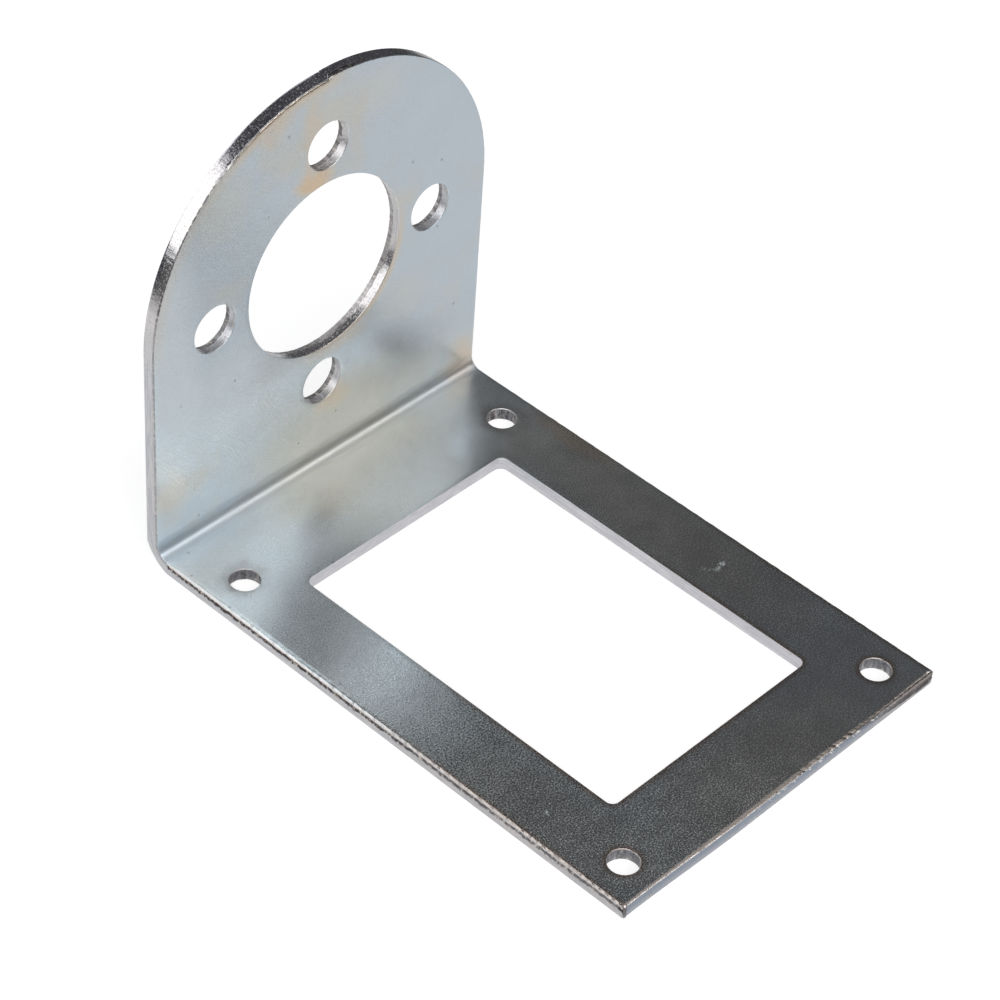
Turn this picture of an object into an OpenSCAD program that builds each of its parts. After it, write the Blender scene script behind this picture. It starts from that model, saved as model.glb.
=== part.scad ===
// Motor mounting bracket, folded from one strip of zinc-plated steel sheet.
// The base lies flat and is fixed down; the round-topped upright carries the motor's front face.
// Frame: +Z up, X across the width, the upright at the +Y end, the origin under the middle of the base.

/* [Sheet] */
// Thickness of the steel sheet
sheet_t = 1.5; // [1:0.1:2.5]
// Width of the strip, the same for the base and the upright
body_w = 42; // [38:0.5:60]
// Radius on the inside of the fold
bend_inner_r = 1.2; // [0.5:0.1:3]

/* [Base] */
// Length of the base, from the upright's outer face to the free end
base_l = 61; // [50:0.5:90]
// Radius on the two corners of the free end
base_corner_r = 0.5; // [0.2:0.1:3]
// Diameter of the four fixing holes
fixing_d = 3; // [2.5:0.1:4.5]
// Distance from a fixing hole's centre to the side of the strip
fixing_side = 3.8; // [3:0.1:5]
// Distance from the front pair of fixing holes to the free end
fixing_front = 3.8; // [3:0.1:5]
// Distance from the rear pair of fixing holes to the upright's outer face
fixing_rear = 9.4; // [8.5:0.1:11]

/* [Window in the base] */
// Width of the rail left on each side of the window
rail_w = 7.85; // [6.5:0.05:10]
// Width of the rail left at the free end
end_rail_w = 8.8; // [6.5:0.1:12]
// Distance from the window to the upright's outer face
window_rear = 13.3; // [12.5:0.1:18]
// Radius in the window's corners
window_corner_r = 0.8; // [0.3:0.1:4]

/* [Upright] */
// Height of the motor's axis above the underside of the base
axis_h = 24.8; // [23:0.1:40]
// How much smaller the right shoulder's radius is than half the width
shoulder_cut = 1; // [0:0.1:2]
// Step at the top of the arch, where the two shoulder cuts meet
shoulder_step = 0.1; // [0:0.05:0.5]

/* [Motor face] */
// Diameter of the central bore, which takes the motor's boss
bore_d = 19.2; // [12:0.1:21]
// Diameter of the circle through the centres of the motor holes
pitch_d = 27.4; // [26.5:0.1:29]
// Diameter of a motor hole
motor_hole_d = 5; // [3:0.1:5.5]
// Number of motor holes
motor_holes = 4; // [2, 3, 4, 6]

/* [Hidden] */
$fn = 96;
// Cutting tools run this far past the faces that they cut
overcut = 1;
// Length of the flat laps by which the fold runs on into the base and into the upright
fold_lap = 1;
half_w = body_w / 2;
bend_outer_r = bend_inner_r + sheet_t;
// The strip's outer face at the upright, and the free end of the base
rear_y = base_l / 2;
front_y = -base_l / 2;
flat_end_y = rear_y - bend_outer_r;
window_w = body_w - 2 * rail_w;
window_l = base_l - end_rail_w - window_rear;
left_shoulder_r = half_w;
right_shoulder_r = half_w - shoulder_cut;
top_z = axis_h + left_shoulder_r + shoulder_step;
zinc = [0.70, 0.74, 0.78];

// Rectangle from the lower left corner to the upper right one, given by its two limits on each axis
module span(x0, x1, y0, y1) {
    translate([x0, y0]) square([x1 - x0, y1 - y0]);
}

// Rectangle on its centre, with four corners of one radius
module round_cornered(w, l, r) {
    span(-w / 2, w / 2, -l / 2 + r, l / 2 - r);
    span(-w / 2 + r, w / 2 - r, -l / 2, l / 2);
    for (x = [-1, 1], y = [-1, 1])
        translate([x * (w / 2 - r), y * (l / 2 - r)]) circle(r);
}

// Quarter of a disc, in the corner between the directions x_dir and +Y
module quarter_disc(r, x_dir) {
    intersection() {
        circle(r);
        span(min(0, x_dir * r), max(0, x_dir * r), 0, r);
    }
}

// Flat part of the base, up to where the fold begins
module base_flat() {
    r = base_corner_r;
    linear_extrude(sheet_t) {
        span(-half_w, half_w, front_y + r, flat_end_y);
        span(-half_w + r, half_w - r, front_y, front_y + 2 * r);
        for (x = [-1, 1])
            translate([x * (half_w - r), front_y + r]) circle(r);
    }
}

// Quarter turn of sheet between the base and the upright
module fold() {
    translate([-half_w, flat_end_y, bend_outer_r])
        rotate([90, 0, 90])
            linear_extrude(body_w) {
                intersection() {
                    difference() {
                        circle(bend_outer_r);
                        circle(bend_inner_r);
                    }
                    span(0, bend_outer_r + overcut, -bend_outer_r - overcut, 0);
                }
                span(-fold_lap, 0, -bend_outer_r, -bend_inner_r);
                span(bend_inner_r, bend_outer_r, 0, fold_lap);
            }
}

// Outline of the upright above the fold, seen from the free end of the base.
// The left shoulder turns about the motor's axis; the right one is a second, tighter cut.
module upright_outline() {
    right_x = half_w - right_shoulder_r;
    right_z = top_z - right_shoulder_r;
    span(-half_w, 0, bend_outer_r, axis_h);
    translate([0, axis_h]) quarter_disc(left_shoulder_r, -1);
    span(0, half_w, bend_outer_r, right_z);
    span(0, right_x, bend_outer_r, top_z);
    translate([right_x, right_z]) quarter_disc(right_shoulder_r, 1);
}

module upright() {
    translate([0, rear_y, 0])
        rotate([90, 0, 0])
            linear_extrude(sheet_t) upright_outline();
}

// Rectangular window through the base
module window() {
    translate([0, rear_y - window_rear - window_l / 2, -overcut])
        linear_extrude(sheet_t + 2 * overcut)
            round_cornered(window_w, window_l, window_corner_r);
}

// Four holes that fix the base, a pair in front of the window and a pair behind it
module fixing_holes() {
    for (x = [-1, 1], y = [front_y + fixing_front, rear_y - fixing_rear])
        translate([x * (half_w - fixing_side), y, -overcut])
            cylinder(d = fixing_d, h = sheet_t + 2 * overcut);
}

// Round hole through the upright at (x, z)
module upright_hole(d, x, z) {
    translate([x, rear_y + overcut, z])
        rotate([90, 0, 0])
            cylinder(d = d, h = sheet_t + 2 * overcut);
}

// Central bore and the ring of motor holes round it, one of them straight above the axis
module motor_face_holes() {
    upright_hole(bore_d, 0, axis_h);
    for (i = [0 : motor_holes - 1]) {
        a = 90 + i * 360 / motor_holes;
        upright_hole(motor_hole_d, pitch_d / 2 * cos(a), axis_h + pitch_d / 2 * sin(a));
    }
}

module motor_bracket() {
    color(zinc)
        difference() {
            union() {
                base_flat();
                fold();
                upright();
            }
            window();
            fixing_holes();
            motor_face_holes();
        }
}

motor_bracket();
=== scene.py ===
"""Motor mounting bracket: one folded zinc-plated sheet with sheared edges, on a pale studio floor.

Lengths in the mesh code are in millimetres in the row frame, and become metres when the mesh is made.
The sheet is drawn as its flat blank: x across the strip, s along it, and w the depth below the face that ends
up on the inside of the fold. bend() then folds the blank into the bracket.
"""

import math

import bpy
import numpy as np
from bpy.props import FloatProperty, FloatVectorProperty, PointerProperty
from mathutils import Matrix, Vector, geometry


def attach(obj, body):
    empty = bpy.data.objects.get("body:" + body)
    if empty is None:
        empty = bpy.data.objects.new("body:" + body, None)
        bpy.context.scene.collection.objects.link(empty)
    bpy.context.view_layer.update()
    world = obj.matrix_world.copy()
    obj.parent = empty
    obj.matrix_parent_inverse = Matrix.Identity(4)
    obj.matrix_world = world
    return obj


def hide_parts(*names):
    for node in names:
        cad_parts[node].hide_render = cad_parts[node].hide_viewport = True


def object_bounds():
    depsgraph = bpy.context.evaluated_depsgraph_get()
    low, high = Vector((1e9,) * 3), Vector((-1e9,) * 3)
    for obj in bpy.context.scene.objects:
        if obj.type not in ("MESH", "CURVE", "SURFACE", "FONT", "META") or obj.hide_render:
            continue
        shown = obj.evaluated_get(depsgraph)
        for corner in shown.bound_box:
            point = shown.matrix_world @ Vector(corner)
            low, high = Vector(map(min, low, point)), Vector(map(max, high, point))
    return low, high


bl_info = {
    "name": "Motor Bracket",
    "version": (1, 0, 0),
    "blender": (4, 5, 0),
    "location": "View3D > Sidebar > Motor Bracket",
    "description": "Builds a folded motor mounting bracket in zinc-plated sheet, and a stage for it",
    "category": "Add Mesh",
}

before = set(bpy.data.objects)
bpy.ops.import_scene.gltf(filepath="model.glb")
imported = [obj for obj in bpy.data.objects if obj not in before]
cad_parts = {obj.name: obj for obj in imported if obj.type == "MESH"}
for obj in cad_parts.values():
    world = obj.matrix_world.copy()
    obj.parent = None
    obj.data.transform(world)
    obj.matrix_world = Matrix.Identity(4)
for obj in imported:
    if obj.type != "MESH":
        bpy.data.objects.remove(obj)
CAD_LOW, CAD_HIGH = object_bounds()
MM = 0.001


# ---- sizes -------------------------------------------------------------------------------------


def length(name, description, default_mm, **limits):
    """A length property: default_mm in millimetres, kept in metres."""
    return FloatProperty(
        name=name, description=description, default=default_mm * MM, min=0.0,
        unit="LENGTH", subtype="DISTANCE", precision=5, **limits,
    )


def tint(name, description, default):
    """A linear colour property."""
    return FloatVectorProperty(
        name=name, description=description, default=default, size=3, subtype="COLOR", min=0.0, max=1.0
    )


def fraction(name, description, default):
    """A property between 0 and 1."""
    return FloatProperty(
        name=name, description=description, default=default, min=0.0, max=1.0, subtype="FACTOR"
    )


def settings_in(group):
    """The names of a property group's own properties."""
    return [key for key in group.bl_rna.properties.keys() if key not in ("rna_type", "name")]


class BracketSizes(bpy.types.PropertyGroup):
    """The sizes of the folded sheet, as in the part's source. Only the right end corner is sharper here."""

    width: length("Width", "Width of the strip", (CAD_HIGH.x - CAD_LOW.x) / MM)
    base_length: length(
        "Base length", "From the upright's outer face to the free end", (CAD_HIGH.y - CAD_LOW.y) / MM
    )
    height: length("Height", "Height of the top of the upright", CAD_HIGH.z / MM)
    sheet: length("Sheet", "Thickness of the sheet", 1.5)
    bend_inner: length("Fold radius", "Radius on the inside of the fold", 1.2)
    corner: length("Left end corner", "Radius on the left corner of the free end", 0.5)
    corner_right: length("Right end corner", "Radius on the right corner of the free end", 0.15)
    axis_height: length("Axis height", "Height of the motor's axis above the underside", 24.8)
    right_shoulder: length("Right shoulder", "Radius of the tighter shoulder cut", 20.0)
    bore: length("Bore", "Diameter of the central bore", 19.2)
    pitch: length("Hole circle", "Diameter of the circle of motor holes", 27.4)
    motor_hole: length("Motor holes", "Diameter of a motor hole", 5.0)
    fixing: length("Fixing holes", "Diameter of a fixing hole", 3.0)
    fixing_side: length("Fixing to side", "From a fixing hole's centre to the side", 3.8)
    fixing_front: length("Fixing to end", "From the front fixing holes to the free end", 3.8)
    fixing_rear: length("Fixing to upright", "From the rear fixing holes to the upright's outer face", 9.4)
    rail: length("Rails", "Width of the rail on each side of the window", 7.85)
    end_rail: length("End rail", "Width of the rail at the free end", 8.8)
    window_rear: length("Window to upright", "From the window to the upright's outer face", 13.3)
    window_corner: length("Window corners", "Radius in the window's corners", 0.8)


class EdgeSizes(bpy.types.PropertyGroup):
    """How the punch and the shear left the edges of the sheet."""

    spacing: length("Spacing", "Distance between the points along an edge", 0.16)
    hole_spacing: length("Hole spacing", "Distance between the points round a hole", 0.16)
    grid: length("Grid", "Distance between the points of the flat faces", 1.0)
    rim: length("Rim", "Width of the strip of the faces beside an edge", 0.60)
    tear: length("Tear depth", "Depth of the roughness in the torn metal", 0.02)
    groove: length("Groove depth", "Depth of the groove where cut metal meets torn metal", 0.08)
    pull: length("Pull", "How far the outer side of the fold is drawn in at its ends", 0.2)


class ZincFinish(bpy.types.PropertyGroup):
    """Colours and grain of the plating, and the colours of its painted light and painted shade."""

    zinc: tint("Zinc", "Cool colour of the plated faces", (0.625, 0.70, 0.762))
    grey: tint("Grey", "Neutral colour that the cool one drifts to", (0.695, 0.70, 0.665))
    straw: tint("Straw", "Warm stain in the plating", (0.80, 0.64, 0.47))
    # Also painted light: the patches painted brighter on the faces take this colour.
    fresh_and_painted_light: tint("Fresh", "Colour of the brightest plating", (0.92, 0.98, 1.0))
    # Painted highlight on the metal pushed over at the arris, and on the glints.
    painted_highlight: tint("Ridge", "Colour of the metal pushed over at the arris", (1.0, 0.945, 0.90))
    edge: tint("Edge", "Colour of the sheared edges", (0.78, 0.755, 0.76))
    window_wall: tint("Window edge", "Colour of the walls of the window", (0.86, 0.84, 0.87))
    # Painted shade on the walls of the free end and of the fixing holes; the shear lines take this colour too.
    shade: tint("Shaded edge", "Colour of the free end's wall", (0.30, 0.35, 0.43))
    roughness: fraction("Roughness", "Roughness of the faces", 0.15)
    pit_roughness: fraction("Pits", "Roughness added in the pits", 0.45)
    grain: length("Grain", "Size of the grain in the faces", 0.19)
    grain_height: length("Grain height", "Height of the grain in the faces", 0.006)


class StageSettings(bpy.types.PropertyGroup):
    """Floor, lights and camera."""

    floor: tint("Floor", "Colour of the floor", (0.80, 0.80, 0.80))
    lens: FloatProperty(
        name="Lens", description="Focal length on a 36 mm sensor", default=117.996, unit="CAMERA"
    )


# ---- the flat blank ----------------------------------------------------------------------------


class Blank:
    """The sheet before it is folded, in millimetres, and the way that it folds."""

    def __init__(self, sizes):
        for key in settings_in(sizes):
            setattr(self, key, getattr(sizes, key) / MM)
        self.half = self.width / 2
        self.front = -self.base_length / 2
        self.rear = self.base_length / 2
        self.bend_outer = self.bend_inner + self.sheet
        self.fold_start = self.rear - self.bend_outer
        self.fold_length = math.pi / 2 * (self.bend_inner + self.sheet / 2)
        self.fold_end = self.fold_start + self.fold_length
        self.rise = self.fold_end - self.bend_outer  # A point of the upright at height z has s = z + rise.
        self.axis = self.axis_height + self.rise
        self.top = self.height + self.rise

    def turn(self, s):
        """How far round the fold s is: 0 on the base, 1 on the upright."""
        return np.clip((s - self.fold_start) / self.fold_length, 0, 1)

    def bend(self, p):
        """Blank points (x, s, w) to bracket points (x, y, z)."""
        x, s, w = p[:, 0], p[:, 1], p[:, 2]
        turn = self.turn(s) * math.pi / 2
        flat = np.minimum(s - self.fold_start, 0)
        up = np.maximum(s - self.fold_end, 0)
        r = self.bend_inner + w
        y = self.fold_start + flat + r * np.sin(turn)
        z = self.bend_outer - r * np.cos(turn) + up
        return np.stack([x, y, z], 1)

    def normal(self, s):
        """The inner face's normal at s."""
        turn = self.turn(s) * math.pi / 2
        return np.stack([np.zeros_like(s), -np.sin(turn), np.cos(turn)], 1)


def steps(a, b, spacing):
    """Points from a up to, but not including, b."""
    n = max(1, round(abs(b - a) / spacing))
    return np.linspace(a, b, n, endpoint=False)


def arc(cx, cy, r, a0, a1, n):
    """n points of an arc, without its last one. Angles in degrees."""
    a = np.radians(np.linspace(a0, a1, n, endpoint=False))
    return np.stack([cx + r * np.cos(a), cy + r * np.sin(a)], 1)


def line(p, q, n):
    """n points of a straight line, without its last one."""
    k = np.linspace(0, 1, n, endpoint=False)[:, None]
    return np.array(p)[None] * (1 - k) + np.array(q)[None] * k


FOLD_STEPS = 20     # Steps of the mesh round the fold
CORNER_POINTS = 9   # Points in a corner of the window
END_POINTS = 8      # and in a corner of the free end
START_POINTS = 6    # From a corner of the free end to the first of the rows that both sides share
FIRST_ROW = 1.6     # Where that row is, from the free end
STEP_POINTS = 5     # Points on the short flat between the two shoulders
STEP_WIDTH = 0.05   # How far that flat ends to the right of the middle
LEAST_CORNER = 0.05


def circle_edge(cx, cy, r, spacing):
    """Edge of a round hole. Like every edge it is a function of the distance into the metal, d."""
    n = 4 * round(2 * math.pi * r / spacing / 4)
    return lambda d: arc(cx, cy, r + d, 360, 0, n)


def window_edge(b, spacing):
    """Edge of the rectangular window."""
    hx = b.half - b.rail
    y0, y1 = b.front + b.end_rail, b.rear - b.window_rear
    cy, hy = (y0 + y1) / 2, (y1 - y0) / 2
    across, along = round(2 * hx / spacing), round(2 * hy / spacing)

    def ring(d):
        r = b.window_corner + d
        x, y = hx + d - r, hy + d - r
        parts = []
        for i, (sx, sy) in enumerate(((1, 1), (1, -1), (-1, -1), (-1, 1))):
            a = 90 - 90 * i
            parts.append(arc(sx * x, cy + sy * y, r, a, a - 90, CORNER_POINTS))
            if i % 2 == 0:
                side = sx * (x + r)
                parts.append(line((side, cy + sy * y), (side, cy - sy * y), along))
            else:
                side = cy + sy * (y + r)
                parts.append(line((sx * x, side), (-sx * x, side), across))
        return np.vstack(parts)

    return ring


def fold_rows(b, spacing):
    """Where the points of the strip's two sides stand along it, up to the end of the fold."""
    return np.concatenate([
        steps(b.front + FIRST_ROW, b.fold_start, spacing),
        steps(b.fold_start, b.fold_end, b.fold_length / FOLD_STEPS),
    ])


def outline_edge(b, spacing):
    """Edge of the blank itself: free end, right side, right shoulder, left shoulder, left side."""
    rows = fold_rows(b, spacing)
    left_r, left_c = b.half, (0.0, b.axis)
    right_r = b.right_shoulder
    right_c = (b.half - right_r, b.top - right_r)
    end_points = round(b.width / spacing)
    right_points = round(math.pi / 2 * right_r / spacing)
    left_points = round(math.pi / 2 * left_r / spacing)

    def ring(d):
        r_left, r_right = max(b.corner - d, LEAST_CORNER), max(b.corner_right - d, LEAST_CORNER)
        side, end, top = b.half - d, b.front + d, b.top - d
        right = np.concatenate([
            np.linspace(end + r_right, rows[0], START_POINTS, endpoint=False), rows,
            steps(b.fold_end, right_c[1], spacing),
        ])
        left = np.concatenate([
            np.linspace(end + r_left, rows[0], START_POINTS, endpoint=False), rows,
            steps(b.fold_end, left_c[1], spacing), [left_c[1]],
        ])[::-1]
        over = math.degrees(math.asin(STEP_WIDTH / (left_r - d)))
        return np.vstack([
            line((r_left - side, end), (side - r_right, end), end_points),
            arc(side - r_right, end + r_right, r_right, -90, 0, END_POINTS),
            np.stack([np.full(len(right), side), right], 1),
            arc(*right_c, right_r - d, 0, 90, right_points),
            line((right_c[0], top), (STEP_WIDTH, top), STEP_POINTS),
            [(STEP_WIDTH, top)],
            arc(*left_c, left_r - d, 90 + over, 180, left_points),
            np.stack([np.full(len(left) - 1, -side), left[:-1]], 1),
            arc(r_left - side, end + r_left, r_left, 180, 270, END_POINTS),
        ])

    return ring


ROLL_POINTS = 7  # Points of a cross-section in the rolled-over arris
WALL_POINTS = 8  # in the wall
FOOT_POINTS = 3  # and in the small arris at the outer face
NONE = -9.0      # Where there is no groove, and how far from torn metal a face is
ALL = 9.0        # Deeper than the sheet


def ease(x, low, high):
    """0 below low, 1 above high, and smooth between them. low may be the larger."""
    t = np.clip((x - low) / (high - low), 0, 1)
    return t * t * (3 - 2 * t)


def near(x, centre, reach):
    """1 at the centre, falling smoothly to 0 at the reach."""
    return ease(np.abs(x - centre), reach, 0)


class Section:
    """How an edge is shaped at each of its points: lengths in millimetres, one number a point.

    roll_in, roll_down: the rolled-over arris at the inner face, and flat: how much of it is a plain bevel.
    inset: how far the whole edge stands back.
    lean, lean_from: how far the torn metal leans back at the outer face, and the depth where that begins.
    groove_at: depth of the groove in the wall, or NONE. foot: size of the arris at the outer face.
    torn_from, torn_to: the depths between which the metal is torn. scorch: how dark it is there, partly as
    painted shade. coarse: how
    rough the wall is. cool: painted shade, which makes the wall bluer and darker near the inner face.
    """

    USUAL = {
        "roll_in": 0.05, "roll_down": 0.06, "flat": 0.0, "inset": 0.0, "lean": 0.0, "lean_from": 0.9,
        "groove_at": NONE, "foot": 0.06, "torn_from": ALL, "torn_to": ALL, "scorch": 1.0, "coarse": 0.3,
        "cool": 0.0,
    }

    def __init__(self, points, **values):
        for key, value in {**self.USUAL, **values}.items():
            setattr(self, key, np.broadcast_to(np.asarray(value, float), len(points)))

    def rows(self, sheet):
        """Rows of (distance into the metal, depth, is rolled over), from the inner face to the outer one."""
        for k in range(ROLL_POINTS):
            t = k / (ROLL_POINTS - 1)
            a = math.pi / 2 * t
            inward = (1 - math.sin(a)) * (1 - self.flat) + (1 - t) * self.flat
            down = (1 - math.cos(a)) * (1 - self.flat) + t * self.flat
            yield self.roll_in * inward, self.roll_down * down, True
        foot = sheet - self.foot
        for k in range(1, WALL_POINTS + 1):
            w = self.roll_down + (foot - self.roll_down) * k / WALL_POINTS
            yield self.lean * np.clip((w - self.lean_from) / (sheet - self.lean_from), 0, 1), w, False
        for k in range(1, FOOT_POINTS + 1):
            a = math.pi / 2 * k / FOOT_POINTS
            yield self.lean + self.foot * (1 - math.cos(a)), foot + self.foot * math.sin(a), False


def outline_section(b, p):
    """The shape of the blank's own edge: rolled over by the die along the base, and sharp round the upright."""
    x, s = p[:, 0], p[:, 1]
    uneven, ragged = waves(p, 5, 1.5), waves(p, 12, 0.5)
    # Places along the edge, each 1 where it is and 0 elsewhere: first those of the base.
    base = ease(s, b.fold_start + 1.0, b.fold_start - 2.0)
    end = near(s, b.front, 0.5) * ease(np.abs(x), b.half, b.half - 0.4)
    side = base * (1 - end)
    left_side = side * (x < 0)
    right_side = side - left_side
    is_side = side > 0.3
    is_corner = ease(x, 0.5 - b.half, 0.15 - b.half) * ease(s, b.front + 0.5, b.front + 0.15) > 0.5
    end_left, droop = end * ease(x, 16, 6), end * ease(x, 8, 19)
    knocks = np.clip(waves(p, 9, 0.9, 2) - 0.5, 0, 1) * end * ease(x, -2, 5) * ease(x, 18, 14)
    # Then those of the upright: past the step at the top, two stretches of the arch, and the straight sides.
    after_step = ease(x, -0.2, 0.2) * ease(x, 6.0, 2.0) * ease(s, b.top - 6, b.top - 5)
    lit = ease(x, -15, -11) * ease(x, 0.2, -0.2) * ease(s, b.top - 10, b.top - 6)
    pale = ease(x, -8, -10) * ease(s, b.axis + 3, b.axis + 6)
    straight = ease(s, b.top - 12, b.top - 17) * (1 - base)

    # How much more the arris is rolled over at each place, inwards and downwards.
    rolled = (
        (left_side, 0.09 + 0.03 * uneven + 0.02 * ragged, 0.12 + 0.04 * uneven + 0.03 * ragged),
        (right_side, 0.05 + 0.02 * uneven, 0.05 + 0.02 * uneven),
        (end_left, 0.04, 0.03), (droop, 0.32, 0.55), (knocks, 0.10, 0.12), (lit, 0.05, 0.05),
    )
    roll_in = 0.05 + sum(place * inwards for place, inwards, _ in rolled)
    roll_down = 0.06 + sum(place * down for place, _, down in rolled)
    groove = np.where(is_side, 0.52 + 0.04 * uneven + 0.04 * ragged, NONE)
    strip = 0.16 * (1 - side) + 0.14 * straight + 0.45 * after_step
    strip = strip + end * (0.7 * ease(x, 0, 6) - 0.5) + 0.8 * droop
    return Section(
        p, roll_in=np.maximum(roll_in, 0.02), roll_down=np.maximum(roll_down, 0.03),
        flat=0.8 * (end_left + lit) + 0.7 * side, inset=end * 0.27 * ease(x, -6, -20),
        groove_at=groove, foot=0.08,
        torn_from=np.where(is_side & ~is_corner, groove - 0.18, -1.0),
        torn_to=np.select([is_corner, is_side], [1.3, groove + 0.22], strip),
        # How dark the torn metal is: partly its own colour and partly painted shade; left out where the arch is
        # lit.
        scorch=np.select(
            [is_corner, is_side, end > 0.3],
            [0.75, 1.0, 0.2 * ease(x, 0, 6) + 0.65 * droop],
            (0.35 + 0.5 * np.maximum(after_step, pale)) * (1 - lit),
        ),
        coarse=0.30 - 0.17 * ease(s, b.axis - 4, b.axis + 4) - 0.14 * end + 0.5 * droop,
        # Painted shade on the free end's wall, left out where it droops at the right.
        cool=end * ease(x, 17, 9),
    )


def hole_section(b, p):
    """The shape of a punched hole's edge: sharp at the inner face, torn and opening towards the outer one."""
    start = 0.58 * b.sheet
    across = np.ptp(p[:, 0])
    is_bore, is_fixing = across > b.bore - 1, across < b.fixing + 1
    return Section(
        p, lean=0.125, lean_from=start, foot=0.07,
        torn_from=0.15 if is_fixing else start + 0.05 * waves(p, 8, 0.5),
        # How dark the torn metal in the holes is: partly its own colour and partly painted shade.
        scorch=(0.42 if is_bore else 0.62) + 0.2 * waves(p, 7, 0.6),
        coarse=0.2 if is_bore else 0.38,
        # Painted shade on the fixing holes' walls.
        cool=0.5 if is_fixing else 0.0,
    )


def window_section(b, p):
    """The shape of the window's edge: clean, and leaning back a little towards the outer face."""
    return Section(
        p, lean=0.06, lean_from=0.5 * b.sheet, roll_in=0.03, roll_down=0.03, foot=0.07, coarse=0.32, scorch=0.0
    )


WAVES = 10  # Plane waves in each octave


def waves(points, seed, size, octaves=3):
    """Smooth noise between about -1 and 1 at each point: a seeded sum of plane waves, the same on every run."""
    made = np.random.default_rng(seed)
    total = np.zeros(len(points))
    weight = 0.0
    for octave in range(octaves):
        scale = 2 * math.pi / size * 2.0 ** octave
        share = 0.6 ** octave
        for _ in range(WAVES):
            way = made.normal(size=points.shape[1])
            way *= scale * made.uniform(0.6, 1.4) / np.linalg.norm(way)
            total += share * np.sin(points @ way + made.uniform(0, 2 * math.pi))
        weight += share * math.sqrt(WAVES / 2)
    return total / weight


# What the mesh tells the material at each point, and its value on a plain face. sheared is 1 on a wall and
# coarse is its roughness, torn is the distance into the torn metal and scorch is how dark that is, partly as
# painted shade, cool is painted shade that makes the wall bluer and darker, and margin is the distance from the
# edge on a face.
MARKS = {"sheared": 0.0, "torn": NONE, "scorch": 0.0, "coarse": 0.3, "cool": 0.0, "margin": 0.0}

TRACKS = (0.0, 0.03, 0.08, 0.15, 0.25, 0.4)  # How far into the metal an edge is laid out again, before the rim
GROOVE_REACH = 0.14  # From the middle of the groove to its upper and lower end
TEAR_START = 0.1     # How far into the torn metal it is at its roughest
GRID_START = 1.0     # From the free end to the first points of the faces' grid
GRID_SIDE = 1.4      # From a side to the nearest of them
GRID_CLEAR = 0.45    # The least gap between them and an edge's points, as a share of the grid
MARGIN_SKIP = 4      # One in so many of an edge's points is enough for the faces' margin


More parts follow.
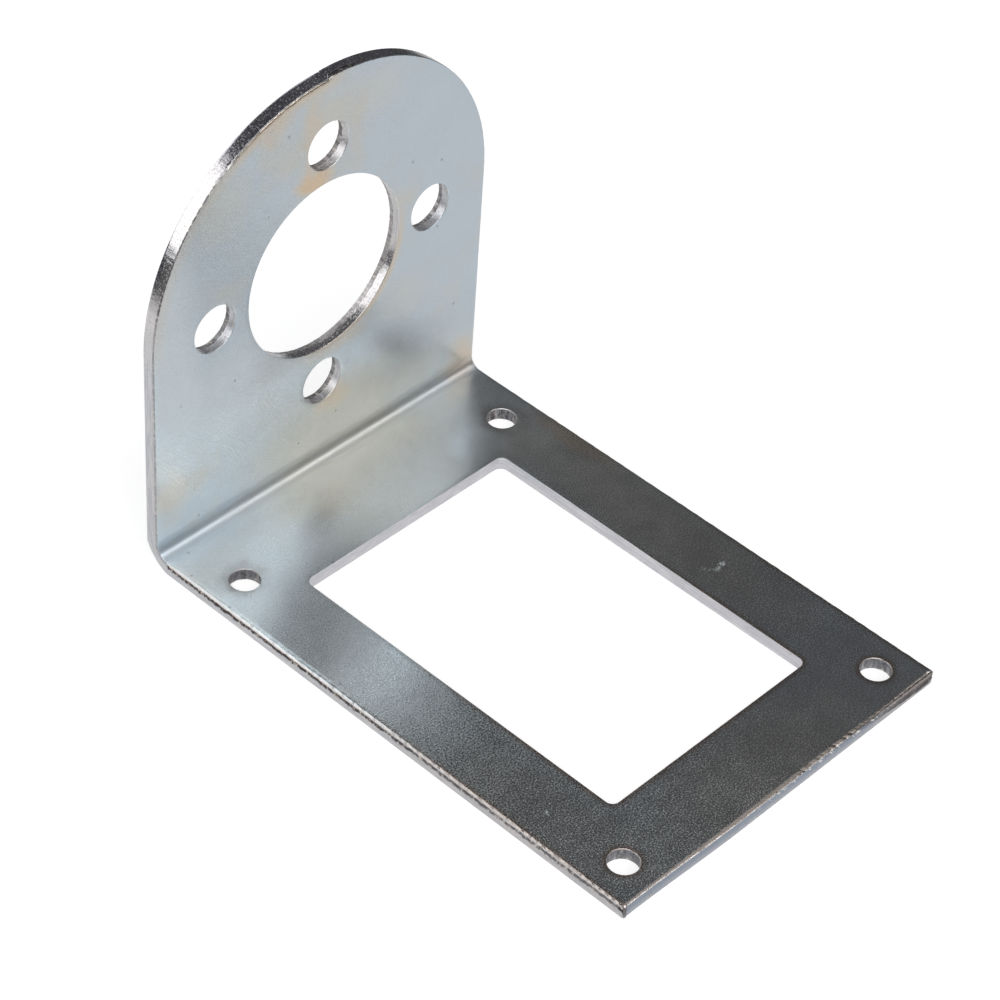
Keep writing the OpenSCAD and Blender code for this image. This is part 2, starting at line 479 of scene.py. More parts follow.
class SheetMesh:
    """Collects the rings of every edge and the two faces between them, and makes one closed mesh."""

    def __init__(self, blank, edges):
        self.b = blank
        self.grid, self.rim, self.tear, self.groove, self.pull = (
            getattr(edges, key) / MM for key in ("grid", "rim", "tear", "groove", "pull")
        )
        self.points = []
        self.flat = []
        self.marks = {key: [] for key in MARKS}
        self.count = 0
        self.faces = []
        self.loops = []

    def add(self, points, flat=0.0, **marks):
        """Adds blank points with their marks, and returns the number of the first one.

        flat is +1 or -1 for a point of the inner or outer face that keeps that face's own normal.
        """
        first = self.count
        self.points.append(points)
        self.flat.append(np.full(len(points), flat))
        for key, value in {**MARKS, **marks}.items():
            self.marks[key].append(np.broadcast_to(value, len(points)))
        self.count += len(points)
        return first

    def add_edge(self, ring, shape):
        """Sweeps a cross-section round an edge. shape(blank, points) gives the Section at each point."""
        rim, sheet = self.rim, self.b.sheet
        depths = np.array([*TRACKS, rim])
        tracks = np.array([ring(d) for d in depths])
        base = tracks[0]
        n = len(base)
        section = shape(self.b, base)
        bulge = np.sin(math.pi * self.b.turn(base[:, 1]))
        i = np.arange(n)

        def at(d):
            """The edge's points, each moved its own distance into the metal."""
            d = np.clip(d, 0, rim)
            k = np.clip(np.searchsorted(depths, d, side="right") - 1, 0, len(depths) - 2)
            t = ((d - depths[k]) / (depths[k + 1] - depths[k]))[:, None]
            return tracks[k, i] * (1 - t) + tracks[k + 1, i] * t

        rows = [self.add(np.column_stack([tracks[-1], np.zeros(n)]), margin=rim, flat=1.0)]
        for d, w, rolled in section.rows(sheet):
            d, w = np.broadcast_to(d, n), np.broadcast_to(w, n)
            torn = np.minimum(w - section.torn_from, section.torn_to - w)
            groove = self.groove * np.clip(1 - np.abs(w - section.groove_at) / GROOVE_REACH, 0, 1)
            pull = self.pull * bulge * w / sheet
            rough = self.tear * np.clip(torn / TEAR_START, 0, 1)
            rough = rough * np.maximum(0, 0.8 + waves(np.column_stack([base, w * 2.2]), 11, 0.55))
            rows.append(self.add(
                np.column_stack([at(d + section.inset + pull + groove + rough), w]),
                sheared=ease(w, 0.3 * section.roll_down, section.roll_down) if rolled else 1.0,
                torn=torn, scorch=section.scorch, coarse=section.coarse, margin=d if rolled else 0.0,
                # Painted shade on the wall: darkest just below the inner face, fading towards the outer one.
                cool=section.cool * ease(w, 0.05, 0.2) * ease(w, 2.2, 0.2),
            ))
        rows.append(self.add(np.column_stack([tracks[-1], np.full(n, sheet)]), margin=rim, flat=-1.0))
        j = (i + 1) % n
        for upper, lower in zip(rows, rows[1:]):
            self.faces.append(np.column_stack([upper + i, lower + i, lower + j, upper + j]))
        self.loops.append((rows[0], rows[-1], tracks[-1]))

    def fill_faces(self):
        """Fills the inner and the outer face between the innermost rings, with a grid of points in them."""
        b, grid = self.b, self.grid
        rows = np.concatenate([
            steps(b.front + GRID_START, b.fold_start, grid),
            steps(b.fold_start, b.fold_end, b.fold_length / FOLD_STEPS),
            steps(b.fold_end, b.top, grid),
        ])
        reach = b.half - GRID_SIDE
        xs = np.linspace(-reach, reach, round(2 * reach / grid) + 1)
        cloud = np.stack(np.meshgrid(xs, rows), -1).reshape(-1, 2)
        cloud = cloud[self.on_sheet(cloud) & (self.gap(cloud) > GRID_CLEAR * grid)]
        tris = self.triangles(cloud)
        margin = self.gap(cloud, MARGIN_SKIP) + self.rim
        for side, depth, flat in ((0, 0.0, 1.0), (1, b.sheet, -1.0)):
            start = self.add(np.column_stack([cloud, np.full(len(cloud), depth)]), margin=margin, flat=flat)
            numbers = [np.arange(len(loop[2])) + loop[side] for loop in self.loops]
            numbers = np.concatenate([*numbers, np.arange(len(cloud)) + start])
            self.faces.append(numbers[tris] if side == 0 else numbers[tris][:, ::-1])

    def on_sheet(self, points):
        """Which points lie inside the outline and outside every hole."""
        outline, *holes = (loop[2] for loop in self.loops)
        found = inside(points, outline)
        for hole in holes:
            found &= ~inside(points, hole)
        return found

    def gap(self, points, skip=1):
        """Distance from each point to the nearest edge, by each of the edges' points or one in so many."""
        return np.min([distance(points, loop[2][::skip]) for loop in self.loops], axis=0)

    def triangles(self, cloud):
        """Triangles over the innermost rings' points and the cloud's, counterclockwise on the inner face."""
        points = np.vstack([loop[2] for loop in self.loops] + [cloud])
        edges, first = [], 0
        for loop in self.loops:
            n = len(loop[2])
            edges += [(first + i, first + (i + 1) % n) for i in range(n)]
            first += n
        made = geometry.delaunay_2d_cdt([Vector(p) for p in points.tolist()], edges, [], 0, 1e-6, True)
        if len(made[0]) != len(points):
            raise RuntimeError("the faces of the sheet could not be filled: their edges cross")
        order = np.array([ids[0] for ids in made[3]])
        tris = order[np.array(made[2])]
        tris = tris[self.on_sheet(points[tris].mean(1))]
        a, c, d = (points[tris[:, k]] for k in range(3))
        turn = (c[:, 0] - a[:, 0]) * (d[:, 1] - a[:, 1]) - (c[:, 1] - a[:, 1]) * (d[:, 0] - a[:, 0])
        tris[turn < 0] = tris[turn < 0][:, ::-1]
        return tris

    def make(self, name):
        """The folded mesh, in metres."""
        blank = np.vstack(self.points)
        co = self.b.bend(blank) * MM
        co = np.clip(co, np.array(CAD_LOW), np.array(CAD_HIGH))
        mesh = bpy.data.meshes.new(name)
        faces = [f for block in self.faces for f in block.tolist()]
        mesh.from_pydata(co.tolist(), [], faces)
        mesh.validate()
        mesh.update()
        mesh.shade_smooth()
        normals = np.empty(len(blank) * 3, np.float32)
        mesh.vertex_normals.foreach_get("vector", normals)
        normals = normals.reshape(-1, 3)
        flat = np.concatenate(self.flat)[:, None]
        normals = np.where(flat != 0, self.b.normal(blank[:, 1]) * flat, normals)
        mesh.normals_split_custom_set_from_vertices(normals.tolist())
        for key, values in self.marks.items():
            layer = mesh.attributes.new(key, "FLOAT", "POINT")
            layer.data.foreach_set("value", np.concatenate(values).astype(np.float32))
        layer = mesh.attributes.new("blank", "FLOAT_VECTOR", "POINT")
        layer.data.foreach_set("vector", blank.astype(np.float32).ravel())
        return mesh


def inside(points, ring):
    """Which points lie inside a closed ring."""
    a, c = ring, np.roll(ring, -1, 0)
    found = np.zeros(len(points), bool)
    for p, q in zip(a, c):
        if p[1] == q[1]:
            continue
        over = (p[1] > points[:, 1]) != (q[1] > points[:, 1])
        cross = p[0] + (points[:, 1] - p[1]) * (q[0] - p[0]) / (q[1] - p[1])
        found ^= over & (points[:, 0] < cross)
    return found


def distance(points, ring):
    """Distance from each point to the nearest point of a ring, which is taken in parts to spare memory."""
    best = np.full(len(points), np.inf)
    for part in np.array_split(ring, len(ring) // 200 + 1):
        best = np.minimum(best, np.linalg.norm(points[:, None] - part[None], axis=2).min(1))
    return best


# ---- materials ---------------------------------------------------------------------------------


class Nodes:
    """Short ways to add and join nodes in one tree."""

    def __init__(self, tree):
        self.tree = tree

    def add(self, kind, inputs=None, **settings):
        """Adds a node, sets its properties and then its inputs: a value, or another node's output socket."""
        node = self.tree.nodes.new(kind)
        for key, value in settings.items():
            setattr(node, key, value)
        for key, value in (inputs or {}).items():
            socket = node.inputs[key]
            if isinstance(value, bpy.types.NodeSocket):
                self.tree.links.new(value, socket)
            else:
                socket.default_value = value
        return node

    def math(self, operation, a, b):
        """A Math node's result."""
        return self.add("ShaderNodeMath", {0: a, 1: b}, operation=operation).outputs[0]

    def product(self, first, *others):
        """All the values multiplied together."""
        for value in others:
            first = self.math("MULTIPLY", first, value)
        return first

    def sum(self, first, *others):
        """All the values added together."""
        for value in others:
            first = self.math("ADD", first, value)
        return first

    def most(self, first, *others):
        """The largest of the values."""
        for value in others:
            first = self.math("MAXIMUM", first, value)
        return first

    def less(self, value):
        """What is left of 1 without the value."""
        return self.math("SUBTRACT", 1.0, value)

    def away(self, value, centre):
        """How far the value is from the centre."""
        return self.math("ABSOLUTE", self.math("SUBTRACT", value, centre), 0.0)

    def vector(self, operation, a, b):
        """A Vector Math node's vector."""
        return self.add("ShaderNodeVectorMath", {0: a, 1: b}, operation=operation).outputs[0]

    def size(self, vector):
        """A vector's length."""
        return self.add("ShaderNodeVectorMath", {0: vector}, operation="LENGTH").outputs["Value"]

    def noise(self, vector, scale, detail=2.0, roughness=0.5):
        """A noise texture's value."""
        node = self.add(
            "ShaderNodeTexNoise", {"Vector": vector, "Scale": scale, "Detail": detail, "Roughness": roughness}
        )
        return node.outputs["Fac"]

    def ramp(self, value, low, high, out_low=0.0, out_high=1.0):
        """value brought from low..high to out_low..out_high, smoothly and clamped."""
        node = self.add(
            "ShaderNodeMapRange",
            {"Value": value, "From Min": low, "From Max": high, "To Min": out_low, "To Max": out_high},
            interpolation_type="SMOOTHSTEP",
        )
        return node.outputs["Result"]

    def mix(self, factor, a, b):
        """A mix of two colours."""
        node = self.add("ShaderNodeMix", {"Factor": factor, 6: a, 7: b}, data_type="RGBA")
        return node.outputs[2]

    def link(self, output, node, key):
        """Joins an output to an input of a node."""
        self.tree.links.new(output, node.inputs[key])


def new_group(name, inputs, outputs):
    """An empty shader node group: its tree, its nodes, its inputs as outputs of the start, and its end.

    inputs are {name: (type, default)} and outputs are {name: type}.
    """
    group = bpy.data.node_groups.new(name, "ShaderNodeTree")
    for key, (kind, default) in inputs.items():
        socket = group.interface.new_socket(key, in_out="INPUT", socket_type=kind)
        if default is not None:
            socket.default_value = default
    for key, kind in outputs.items():
        group.interface.new_socket(key, in_out="OUTPUT", socket_type=kind)
    nodes = Nodes(group)
    start = nodes.add("NodeGroupInput")
    end = nodes.add("NodeGroupOutput")
    return group, nodes, start.outputs, end


def rgba(colour):
    """A colour property as four numbers."""
    return (*colour, 1.0)


def new_material(name):
    """An empty material, and its node tree."""
    material = bpy.data.materials.new(name)
    material.use_nodes = True
    material.node_tree.nodes.clear()
    return material, material.node_tree


def grain_group():
    """Pebbled grain of rolled and plated sheet: its height in millimetres, and masks of its pits and haze."""
    group, n, given, end = new_group(
        "Sheet Grain",
        {
            "Position": ("NodeSocketVector", None), "Size": ("NodeSocketFloat", 0.2),
            "Depth": ("NodeSocketFloat", 0.02),
        },
        {"Height": "NodeSocketFloat", "Pits": "NodeSocketFloat", "Haze": "NodeSocketFloat"},
    )
    place = given["Position"]
    scale = n.math("DIVIDE", 1.0, given["Size"])
    fine = n.noise(place, scale, 1.0)
    coarse = n.noise(place, n.product(scale, 0.37), 1.0)
    swell = n.noise(place, n.product(scale, 0.06), 1.0)
    height = n.sum(fine, n.product(coarse, 1.2), n.product(swell, 1.5))
    n.link(n.product(height, given["Depth"]), end, "Height")
    mottle = n.ramp(n.noise(place, n.product(scale, 0.12), 2.0, 0.6), 0.3, 0.7, -0.012, 0.012)
    pits = n.sum(n.noise(place, n.product(scale, 1.25), 3.0, 0.8), mottle)
    n.link(n.ramp(pits, 0.405, 0.74), end, "Pits")
    haze = n.noise(place, n.product(scale, 3.5), 0.0)
    n.link(n.ramp(haze, 0.36, 0.72), end, "Haze")
    return group


DRIFT = 3.5  # How far the edge of a stain wanders, in millimetres, for noise between 0 and 1


def patch_group(patches):
    """Soft-edged patches, for stain and for painted light and painted shade: a mask from patches of (x, s, half
    width, half length, strength), in millimetres.
    """
    group, n, given, end = new_group(
        "Patches", {"Position": ("NodeSocketVector", None)}, {"Mask": "NodeSocketFloat"}
    )
    place = given["Position"]
    drift = n.add("ShaderNodeTexNoise", {"Vector": place, "Scale": 0.35, "Detail": 3.0, "Roughness": 0.6})
    drift = n.vector("SUBTRACT", drift.outputs["Color"], (0.5, 0.5, 0.5))
    place = n.vector("ADD", place, n.vector("MULTIPLY", drift, (DRIFT, DRIFT, DRIFT)))
    total = 0.0
    for x, s, wide, long, strength in patches:
        to = n.vector("SUBTRACT", place, (x, s, 0.0))
        to = n.vector("MULTIPLY", to, (1 / wide, 1 / long, 0.0))
        total = n.sum(n.ramp(n.size(to), 0.2, 1.0, strength, 0.0), total)
    n.link(n.math("MINIMUM", total, 1.0), end, "Mask")
    return group


# Patches in the plating: x, s, half width, half length, strength. They hold stain, scuffs, painted shade and
# painted light.
GREY_PATCHES = (
    (3.0, 33.0, 17.0, 9.0, 1.0), (3.0, 20.0, 19.0, 9.0, 1.0), (-20.0, 38.0, 4.0, 6.0, 0.7),
    (-13.0, 66.0, 5.0, 5.0, 0.6), (17.0, 33.0, 9.0, 5.0, 0.5), (-18.0, 22.0, 8.0, 6.0, 0.65),
    (-19.0, -16.0, 9.0, 20.0, 0.8), (17.0, 0.0, 9.0, 34.0, 1.0), (0.0, -30.0, 24.0, 16.0, 1.0),
    (-1.0, 66.0, 5.0, 12.0, 0.8), (11.0, 44.0, 5.0, 4.0, 0.5), (0.0, 26.0, 26.0, 6.0, 0.8),
    (4.0, 70.0, 8.0, 4.0, 0.6),
)
WARM_PATCHES = (
    (-2.0, 69.0, 1.8, 8.0, 0.42), (3.6, 66.0, 1.6, 7.0, 0.25), (-1.6, 63.5, 3.4, 1.7, 1.0),
    (1.4, 36.5, 3.2, 2.0, 0.5), (19.5, 31.0, 4.0, 4.0, 0.6), (20.5, 14.0, 2.5, 8.0, 0.5),
    (-19.0, 36.0, 3.0, 4.0, 0.3), (-7.0, 71.5, 3.5, 2.5, 0.5), (1.5, 43.2, 6.0, 2.2, 0.45),
)
# Painted shade: darker patches on the upright beside the bore, and round the fixing holes.
PAINTED_SHADE_PATCHES = (
    (-17.2, 21.1, 3.1, 3.1, 0.75), (17.2, 21.1, 3.3, 3.3, 0.75), (17.2, -26.7, 2.7, 2.7, 0.5),
    (-17.2, -26.7, 2.5, 2.5, 0.4), (-6.0, 45.0, 5.0, 3.5, 0.22), (10.0, 36.5, 9.0, 6.0, 0.2),
    (5.0, 43.5, 4.0, 3.0, 0.2),
)
SCUFFS = ((16.8, -7.8, 1.1, 0.5, 1.0), (15.9, -7.0, 0.5, 0.4, 0.6), (-17.8, -18.4, 0.4, 0.3, 1.0))
# Painted light: patches painted brighter, so that the plating's reflections come out lighter there.
PAINTED_LIGHT_PATCHES = (
    (-19.5, 51.0, 5.5, 22.0, 1.0), (-11.0, 44.0, 12.0, 9.0, 0.8), (-17.0, 15.0, 9.0, 8.0, 1.0),
    (-15.0, -2.0, 9.0, 12.0, 1.0), (-11.0, 22.0, 9.0, 5.0, 0.8), (13.5, 20.0, 5.0, 4.0, 1.0),
)


# The small marks in the metal, and the painted shade, as linear colours.
PAINTED_SHADE = (0.34, 0.31, 0.30, 1)
POCK = (0.22, 0.21, 0.24, 1)
BETWEEN_PITS = (0.20, 0.20, 0.22, 1)
SOOT = (0.42, 0.34, 0.29, 1)
# Painted shade on the arch's wall, and the light flecks in it.
ARC_SHADE, ARC_PALE = (0.38, 0.38, 0.43, 1), (0.95, 0.94, 0.95, 1)
TORN_DARK, TORN_PALE = (0.10, 0.085, 0.085, 1), (0.80, 0.74, 0.68, 1)


class SheetNodes(Nodes):
    """The nodes of the plating, with the mesh's marks and the places that the colours and the grain work from.

    Places are in the blank, in millimetres. front, fold and axis are where the free end, the middle of the fold
    and the bore's centre lie along it.
    """

    def __init__(self, tree, finish, front, fold, axis):
        super().__init__(tree)
        self.finish, self.front, self.fold, self.axis = finish, front, fold, axis
        self.place = self.add("ShaderNodeAttribute", attribute_name="blank").outputs["Vector"]
        self.x, self.s, self.w = self.add("ShaderNodeSeparateXYZ", {0: self.place}).outputs
        self.from_axis = self.size(self.vector("SUBTRACT", self.place, (0.0, axis, 0.0)))
        self.sheared, self.scorch, self.coarse = self.mark("sheared"), self.mark("scorch"), self.mark("coarse")
        self.at_end = self.ramp(self.s, front + 0.8, front + 1.2, 1.0, 0.0)
        self.at_side = self.ramp(self.scorch, 0.90, 0.98)
        ragged = self.math("SUBTRACT", self.noise(self.place, 2.2, 3.0, 0.65), 0.5)
        ragged = self.product(ragged, self.ramp(self.at_side, 0.0, 1.0, 0.2, 0.5))
        self.torn = self.product(self.ramp(self.sum(self.mark("torn"), ragged), -0.04, 0.04), self.sheared)
        grain = self.group(grain_group(), Size=finish.grain / MM, Depth=finish.grain_height / MM)
        self.grain, self.pits, self.haze = (grain.outputs[key] for key in ("Height", "Pits", "Haze"))
        # The grain is strongest at the free end and on the left, and nearly gone on the upright.
        along = self.sum(self.ramp(self.s, -12.0, 18.0, 1.0, 0.25), self.ramp(self.s, 31.0, 37.0, 0.0, 0.2))
        self.worn = self.product(along, self.ramp(self.x, -14.0, 14.0, 1.35, 0.6))
        broken = self.ramp(self.noise(self.place, 4.0), 0.35, 0.6)
        self.scuffed = self.product(self.patch_mask(SCUFFS), self.ramp(self.w, 0.0, 0.2, 1.0, 0.0), broken)

    def mark(self, key):
        """One of the mesh's marks."""
        return self.add("ShaderNodeAttribute", attribute_name=key).outputs["Fac"]

    def group(self, tree, **inputs):
        """A node group that works from the place in the blank."""
        return self.add("ShaderNodeGroup", {"Position": self.place, **inputs}, node_tree=tree)

    def patch_mask(self, patches):
        """The mask of a table of patches."""
        return self.group(patch_group(patches)).outputs["Mask"]

    def stretched(self, *scale):
        """The place in the blank, scaled on each axis."""
        return self.vector("MULTIPLY", self.place, scale)

    def face_colour(self):
        """Colour of the plated faces, with patches of painted light and painted shade."""
        x, s, axis, finish = self.x, self.s, self.axis, self.finish
        cloud = self.ramp(self.noise(self.place, 0.10, 3.0, 0.6), 0.5, 0.75)
        by_fold = self.ramp(s, self.fold - 3.0, self.fold, 0.45, 0.0)
        greyed = self.most(self.patch_mask(GREY_PATCHES), by_fold, cloud)
        colour = self.mix(greyed, rgba(finish.zinc), rgba(finish.grey))
        # Painted light: brighter patches on the faces.
        painted_light = self.product(self.patch_mask(PAINTED_LIGHT_PATCHES), self.ramp(s, 24.0, 30.0, 0.6, 0.4))
        colour = self.mix(painted_light, colour, rgba(finish.fresh_and_painted_light))

        # Straw-coloured: patches, a fringe inside the left shoulder, and a ring below the right of the bore.
        on_left = self.product(self.ramp(x, -2.0, 4.0, 1.0, 0.0), self.ramp(x, -14.0, -9.0, 0.35, 1.0))
        on_left = self.product(on_left, self.ramp(s, axis - 3.0, axis + 3.0))
        fringe = self.product(self.ramp(self.from_axis, 19.2, 20.8, 0.0, 0.75), on_left)
        low_right = self.product(self.ramp(x, -6.0, 1.0), self.ramp(s, axis - 3.0, axis + 6.0, 1.0, 0.0))
        ring = self.product(self.ramp(self.from_axis, 9.7, 10.8, 0.65, 0.0), low_right)
        colour = self.mix(self.most(self.patch_mask(WARM_PATCHES), fringe, ring), colour, rgba(finish.straw))
        # Painted shade beside the bore and round the fixing holes.
        colour = self.mix(self.patch_mask(PAINTED_SHADE_PATCHES), colour, PAINTED_SHADE)

        # A few dark pocks, then grit between the pits and bright metal in them, then soot beside the edges.
        cells = self.add("ShaderNodeTexVoronoi", {"Vector": self.place, "Scale": 0.45, "Randomness": 1.0})
        chosen = self.add("ShaderNodeSeparateColor", {"Color": cells.outputs["Color"]}).outputs[0]
        pock = self.ramp(cells.outputs["Distance"], 0.045, 0.09, 0.55, 0.0)
        colour = self.mix(self.product(pock, self.ramp(chosen, 0.60, 0.64)), colour, POCK)
        grit = self.product(self.ramp(s, -12.0, 16.0, 0.40, 0.03), self.ramp(x, -14.0, 14.0, 1.0, 0.55))
        colour = self.mix(self.product(self.less(self.pits), grit), colour, BETWEEN_PITS)
        colour = self.mix(self.product(self.pits, grit), colour, rgba(finish.fresh_and_painted_light))
        soot = self.ramp(self.mark("margin"), 0.1, 0.7, 1.0, 0.0)
        return self.mix(self.product(soot, self.ramp(s, -12.0, 6.0, 0.8, 0.0)), colour, SOOT)

    def wall_colour(self, colour):
        """The faces' colour, with the sheared and punched walls laid over it, and painted shade and painted
        highlights on the walls.
        """
        x, s, w, axis, finish = self.x, self.s, self.w, self.axis, self.finish
        colour = self.mix(self.product(self.sheared, 0.8), colour, rgba(finish.edge))
        in_window = self.product(
            self.ramp(self.away(x, 0.0), 13.6, 14.4, 1.0, 0.0),
            self.ramp(s, self.front + 4.0, self.front + 5.0),
            self.ramp(s, self.fold - 9.5, self.fold - 8.5, 1.0, 0.0), self.sheared,
        )
        colour = self.mix(self.product(in_window, 0.75), colour, rgba(finish.window_wall))

        # Painted shade on the arch's wall: dark with light flecks, but not along the stretch that is lit, and
        # only in its outer half at its left foot.
        arch = self.product(
            self.ramp(self.from_axis, 18.0, 19.0), self.ramp(s, axis + 6.4, axis + 7.8),
            self.most(self.ramp(w, 0.85, 1.15), self.ramp(s, axis + 9.5, axis + 10.8)), self.sheared,
        )
        bright = self.ramp(self.away(s, axis + 13.8), 2.0, 4.5, 0.85, 0.0)
        flecks = self.ramp(self.noise(self.place, 5.0, 3.0, 0.7), 0.54, 0.64, 0.0, 0.8)
        arch = self.product(arch, self.math("SUBTRACT", 0.92, bright))
        colour = self.mix(arch, colour, self.mix(flecks, ARC_SHADE, ARC_PALE))
        # Painted shade: the free end's wall and the fixing holes' walls, bluer and darker below the inner face.
        colour = self.mix(self.mark("cool"), colour, rgba(finish.shade))

        # Fine lines along the walls, left by the shear, darkened with the colour of the painted shade.
        lines = self.ramp(self.noise(self.stretched(0.4, 0.25, 6.0), 1.6, 3.0, 0.6), 0.40, 0.62, 0.35, 0.0)
        lines = self.product(lines, self.sheared, self.ramp(s, axis, axis + 5.0, 1.0, 0.0))
        colour = self.mix(lines, colour, rgba(finish.shade))

        # Painted highlight: the metal pushed over at the base's arrises is painted bright, and so are slanting
        # glints below it at the free end.
        slant = {"X": self.sum(x, self.product(w, -0.9)), "Y": self.product(w, 0.25)}
        slant = self.add("ShaderNodeCombineXYZ", slant).outputs[0]
        glints = self.product(
            self.ramp(self.noise(slant, 1.9, 2.0, 0.6), 0.54, 0.60), self.at_end,
            self.ramp(w, 0.08, 0.16), self.ramp(w, 0.30, 0.65, 1.0, 0.0),
            self.ramp(x, -6.0, 2.0), self.ramp(x, 14.0, 17.0, 1.0, 0.0),
        )
        on_end = self.product(self.ramp(w, 0.08, 0.14, 1.0, 0.0), self.ramp(x, -2.0, 12.0, 1.0, 0.2))
        on_side = self.product(self.ramp(w, 0.20, 0.32, 1.0, 0.0), self.ramp(s, -10.0, 12.0, 0.5, 1.0))
        painted_highlight = self.most(self.product(on_end, self.at_end), self.product(on_side, self.at_side), glints)
        painted_highlight = self.product(painted_highlight, self.sheared)
        colour = self.mix(painted_highlight, colour, rgba(finish.painted_highlight))

        # The torn metal, dark with light flecks: partly its own colour and partly painted shade, in the groove
        # and in the holes.
        flecks = self.ramp(self.noise(self.stretched(1.0, 1.0, 0.35), 2.6, 3.0, 0.7), 0.50, 0.66)
        flecks = self.product(flecks, self.less(self.product(self.at_end, 0.75)))
        torn_and_shade = self.most(self.ramp(s, self.front, 10.0, 0.7, 1.0), self.at_end)
        torn_and_shade = self.product(torn_and_shade, self.scorch, self.less(glints), self.torn)
        return self.mix(torn_and_shade, colour, self.mix(flecks, TORN_DARK, TORN_PALE))

    def roughness(self):
        """Roughness of the faces and of the walls."""
        x, s, plain = self.x, self.s, self.finish.roughness
        uneven = self.ramp(self.noise(self.place, 0.2, 2.0), 0.3, 0.7, plain - 0.03, plain + 0.03)
        handled = self.ramp(self.away(s, 29.0), 8.0, 20.0, 0.07, 0.0)
        drawn = self.ramp(self.away(s, self.fold), 1.2, 2.4, 0.11, 0.0)
        hazy = self.product(self.ramp(s, -14.0, 12.0, 0.0, 0.62), self.ramp(x, -12.0, 10.0, 1.12, 0.75))
        pitted = self.sum(self.product(self.pits, self.worn), self.product(self.haze, hazy))
        pitted = self.product(pitted, self.finish.pit_roughness)
        face = self.sum(uneven, handled, drawn, pitted, self.product(self.scuffed, 0.4))
        specks = self.ramp(self.noise(self.place, 5.5, 2.0, 0.6), 0.52, 0.66)
        specks = self.product(specks, self.ramp(self.coarse, 0.3, 0.4, 0.3, 0.6))
        wall = self.sum(self.coarse, self.product(self.torn, 0.2), specks)
        return self.sum(self.product(face, self.less(self.sheared)), self.product(wall, self.sheared))

    def relief(self):
        """Height of the surface in millimetres: grain on the faces, streaks and tears on the walls."""
        streaks = self.product(self.noise(self.stretched(1.0, 1.0, 0.12), 2.4, 3.0, 0.6), 0.70)
        swell = self.product(self.noise(self.place, 0.9, 1.0), 0.70)
        tears = self.product(self.noise(self.place, 4.0, 4.0, 0.65), self.torn, 1.2)
        wall = self.product(self.sum(streaks, swell, tears), self.sheared, 0.02)
        return self.sum(self.product(self.grain, self.worn), wall)


def zinc_material(finish, front, fold, axis):
    """Bright zinc plating over cold-rolled sheet, with sheared and punched walls where the mesh says so."""
    material, tree = new_material("zinc_plated_steel")
    n = SheetNodes(tree, finish, front, fold, axis)
    colour = n.mix(n.scuffed, n.wall_colour(n.face_colour()), rgba(finish.fresh_and_painted_light))
    bump = n.add("ShaderNodeBump", {"Height": n.relief(), "Distance": MM, "Strength": 1.0})
    shader = n.add(
        "ShaderNodeBsdfPrincipled",
        {"Base Color": colour, "Roughness": n.roughness(), "Metallic": 1.0, "Normal": bump.outputs["Normal"]},
    )
    n.link(shader.outputs[0], n.add("ShaderNodeOutputMaterial"), "Surface")
    return material


WHITE = (1, 1, 1, 1)
SEEN_MATT = (0.42, 0.42, 0.42, 1)  # What is left of the floor's own colour where the camera sees it
SEEN_GLOW = 0.70                   # and the white added there


def choose(n, share, usual, other):
    """A mix of two shaders: the other one for its share, which is 1 for the rays that see it."""
    node = n.add("ShaderNodeMixShader", {"Fac": share})
    n.link(usual, node, 1)
    n.link(other, node, 2)
    return node.outputs[0]


def floor_material(colour):
    """Pale matt floor. The camera sees it lifted to white, with the bracket's shadow left in it.

    Reflections see it lifted too, but only close to the bracket.
    """
    material, tree = new_material("pale_floor")
    n = Nodes(tree)
    path = n.add("ShaderNodeLightPath")
    away = n.size(n.add("ShaderNodeNewGeometry").outputs["Position"])
    glow_near = n.ramp(away, 0.10, 0.20, 0.37, 0.03)
    matt_near = n.ramp(away, 0.11, 0.24, 0.42, 0.08)
    seen = n.add("ShaderNodeBsdfDiffuse", {"Color": rgba(colour)}).outputs[0]
    for ray, matt, strength in (
        ("Is Glossy Ray", matt_near, glow_near),
        ("Is Transmission Ray", matt_near, glow_near),
        ("Is Camera Ray", SEEN_MATT, SEEN_GLOW),
    ):
        lifted = n.add("ShaderNodeAddShader")
        n.link(n.add("ShaderNodeBsdfDiffuse", {"Color": matt}).outputs[0], lifted, 0)
        n.link(n.add("ShaderNodeEmission", {"Color": WHITE, "Strength": strength}).outputs[0], lifted, 1)
        seen = choose(n, path.outputs[ray], seen, lifted.outputs[0])
    n.link(seen, n.add("ShaderNodeOutputMaterial"), "Surface")
    return material


# ---- operators ---------------------------------------------------------------------------------


def add_object(name, data):
    """A new object in the scene."""
    obj = bpy.data.objects.new(name, data)
    bpy.context.scene.collection.objects.link(obj)
    return obj


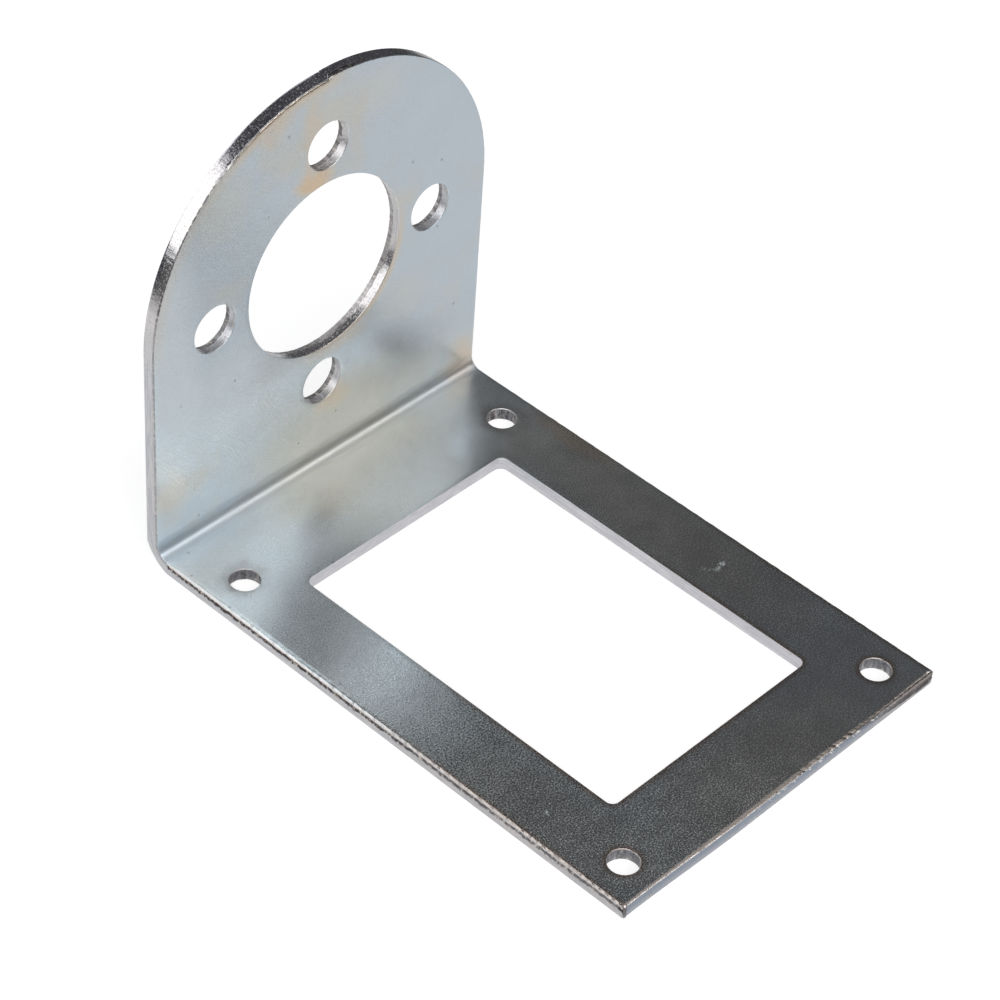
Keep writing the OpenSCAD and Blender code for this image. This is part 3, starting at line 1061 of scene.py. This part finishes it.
class BRACKET_OT_sheet(bpy.types.Operator):
    """Build the folded sheet with its punched and sheared edges"""

    bl_idname = "bracket.sheet"
    bl_label = "Folded Sheet"
    bl_options = {"REGISTER", "UNDO"}

    def execute(self, context):
        scene = context.scene
        b = Blank(scene.bracket_sizes)
        edges = scene.bracket_edges
        along, around = edges.spacing / MM, edges.hole_spacing / MM
        sheet = SheetMesh(b, edges)
        sheet.add_edge(outline_edge(b, along), outline_section)
        sheet.add_edge(circle_edge(0, b.axis, b.bore / 2, around), hole_section)
        for x, s in ((0, 1), (1, 0), (0, -1), (-1, 0)):
            centre = (x * b.pitch / 2, b.axis + s * b.pitch / 2)
            sheet.add_edge(circle_edge(*centre, b.motor_hole / 2, around), hole_section)
        for x in (-1, 1):
            for s in (b.front + b.fixing_front, b.rear - b.fixing_rear):
                hole = circle_edge(x * (b.half - b.fixing_side), s, b.fixing / 2, around)
                sheet.add_edge(hole, hole_section)
        sheet.add_edge(window_edge(b, along), window_section)
        sheet.fill_faces()
        piece = add_object("folded_sheet", sheet.make("folded_sheet"))
        middle_of_fold = (b.fold_start + b.fold_end) / 2
        piece.data.materials.append(zinc_material(scene.bracket_finish, b.front, middle_of_fold, b.axis))
        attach(piece, "root")
        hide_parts("motor_bracket")
        return {"FINISHED"}


# Soft boxes: degrees from +X towards +Y, degrees up, distance, width and height in metres, and brightness.
SOFT_BOXES = {
    "key_front_right": (-65, 48, 0.9, 0.50, 0.29, 2.30),
    "key_halo": (-60, 48, 0.9, 0.80, 0.42, 0.72),
    "key_above": (-8, 60, 0.9, 0.40, 0.24, 0.65),
    "rim_back_left": (128, 28, 0.9, 0.92, 0.60, 1.45),
    "rim_back": (80, 22, 0.9, 0.75, 0.62, 0.85),
    "fill_over_camera": (-138, 52, 1.3, 1.3, 0.9, 3.4),
}
AIM = Vector((0, 0, 0.02))         # The point that they face
STUDIO = (0.093, 0.093, 0.097, 1)  # The dim studio round them
FLOOR_REACH = 3.0

# The camera that fits the photograph: its place in metres, and its right, down and ahead in the row frame.
CAMERA_AT = (-0.16857827, -0.14172777, 0.21151954)
CAMERA_RIGHT = (0.6938861, -0.7178706, 0.0564250)
CAMERA_DOWN = (-0.4507674, -0.4941382, -0.7433951)
CAMERA_AHEAD = (0.5615432, 0.4903970, -0.6664683)


def add_floor(colour):
    """The floor, which is no part of the bracket."""
    mesh = bpy.data.meshes.new("floor")
    r = FLOOR_REACH
    mesh.from_pydata([(-r, -r, 0), (r, -r, 0), (r, r, 0), (-r, r, 0)], [], [(0, 1, 2, 3)])
    mesh.materials.append(floor_material(colour))
    add_object("floor", mesh)


def add_soft_box(name, azimuth, elevation, distance_m, width, height, strength):
    """A rectangular area light aimed at the bracket, and not seen by the camera."""
    data = bpy.data.lights.new(name, "AREA")
    data.shape = "RECTANGLE"
    data.size, data.size_y = width, height
    data.energy = strength * math.pi * width * height
    lamp = add_object(name, data)
    a, e = math.radians(azimuth), math.radians(elevation)
    way = Vector((math.cos(a) * math.cos(e), math.sin(a) * math.cos(e), math.sin(e)))
    lamp.location = AIM + way * distance_m
    lamp.rotation_euler = way.to_track_quat("Z", "Y").to_euler()
    lamp.visible_camera = False


def add_world():
    """A dim studio that the camera sees as plain white."""
    world = bpy.data.worlds.new("studio")
    bpy.context.scene.world = world
    world.use_nodes = True
    world.node_tree.nodes.clear()
    n = Nodes(world.node_tree)
    dim = n.add("ShaderNodeBackground", {"Color": STUDIO, "Strength": 1.0}).outputs[0]
    white = n.add("ShaderNodeBackground", {"Color": WHITE, "Strength": 1.0}).outputs[0]
    seen = choose(n, n.add("ShaderNodeLightPath").outputs["Is Camera Ray"], dim, white)
    n.link(seen, n.add("ShaderNodeOutputWorld"), "Surface")


def add_camera(lens):
    """The scene's camera, at the photograph's viewing angle."""
    data = bpy.data.cameras.new("camera")
    data.sensor_width = 36.0
    data.lens = lens
    data.clip_start, data.clip_end = 0.01, 20.0
    camera = add_object("camera", data)
    turn = Matrix((Vector(CAMERA_RIGHT), -Vector(CAMERA_DOWN), -Vector(CAMERA_AHEAD))).transposed()
    camera.matrix_world = Matrix.Translation(CAMERA_AT) @ turn.to_4x4()
    bpy.context.scene.camera = camera


class BRACKET_OT_stage(bpy.types.Operator):
    """Set up the pale floor, the soft lights and the camera"""

    bl_idname = "bracket.stage"
    bl_label = "Stage"
    bl_options = {"REGISTER", "UNDO"}

    def execute(self, context):
        settings = context.scene.bracket_stage
        add_floor(settings.floor)
        for name, place in SOFT_BOXES.items():
            add_soft_box(name, *place)
        add_world()
        add_camera(settings.lens)
        context.scene.view_settings.view_transform = "Standard"
        return {"FINISHED"}


class BRACKET_PT_panel(bpy.types.Panel):
    """Lists what builds the bracket and its stage, and every setting, in the sidebar"""

    bl_label = "Motor Bracket"
    bl_idname = "BRACKET_PT_panel"
    bl_space_type = "VIEW_3D"
    bl_region_type = "UI"
    bl_category = "Motor Bracket"

    def draw(self, context):
        column = self.layout.column()
        column.operator(BRACKET_OT_sheet.bl_idname)
        column.operator(BRACKET_OT_stage.bl_idname)
        for name in GROUPS:
            group = getattr(context.scene, name)
            box = self.layout.box()
            for key in settings_in(group):
                box.prop(group, key)


GROUPS = {
    "bracket_sizes": BracketSizes,
    "bracket_edges": EdgeSizes,
    "bracket_finish": ZincFinish,
    "bracket_stage": StageSettings,
}
CLASSES = (*GROUPS.values(), BRACKET_OT_sheet, BRACKET_OT_stage, BRACKET_PT_panel)


def register():
    """Makes the settings, the operators and the panel known to Blender."""
    for cls in CLASSES:
        bpy.utils.register_class(cls)
    for key, group in GROUPS.items():
        setattr(bpy.types.Scene, key, PointerProperty(type=group))


def unregister():
    """Takes them away again."""
    for key in GROUPS:
        delattr(bpy.types.Scene, key)
    for cls in reversed(CLASSES):
        bpy.utils.unregister_class(cls)


def main():
    register()
    bpy.ops.bracket.sheet()
    bpy.ops.bracket.stage()


if __name__ == "__main__":
    main()
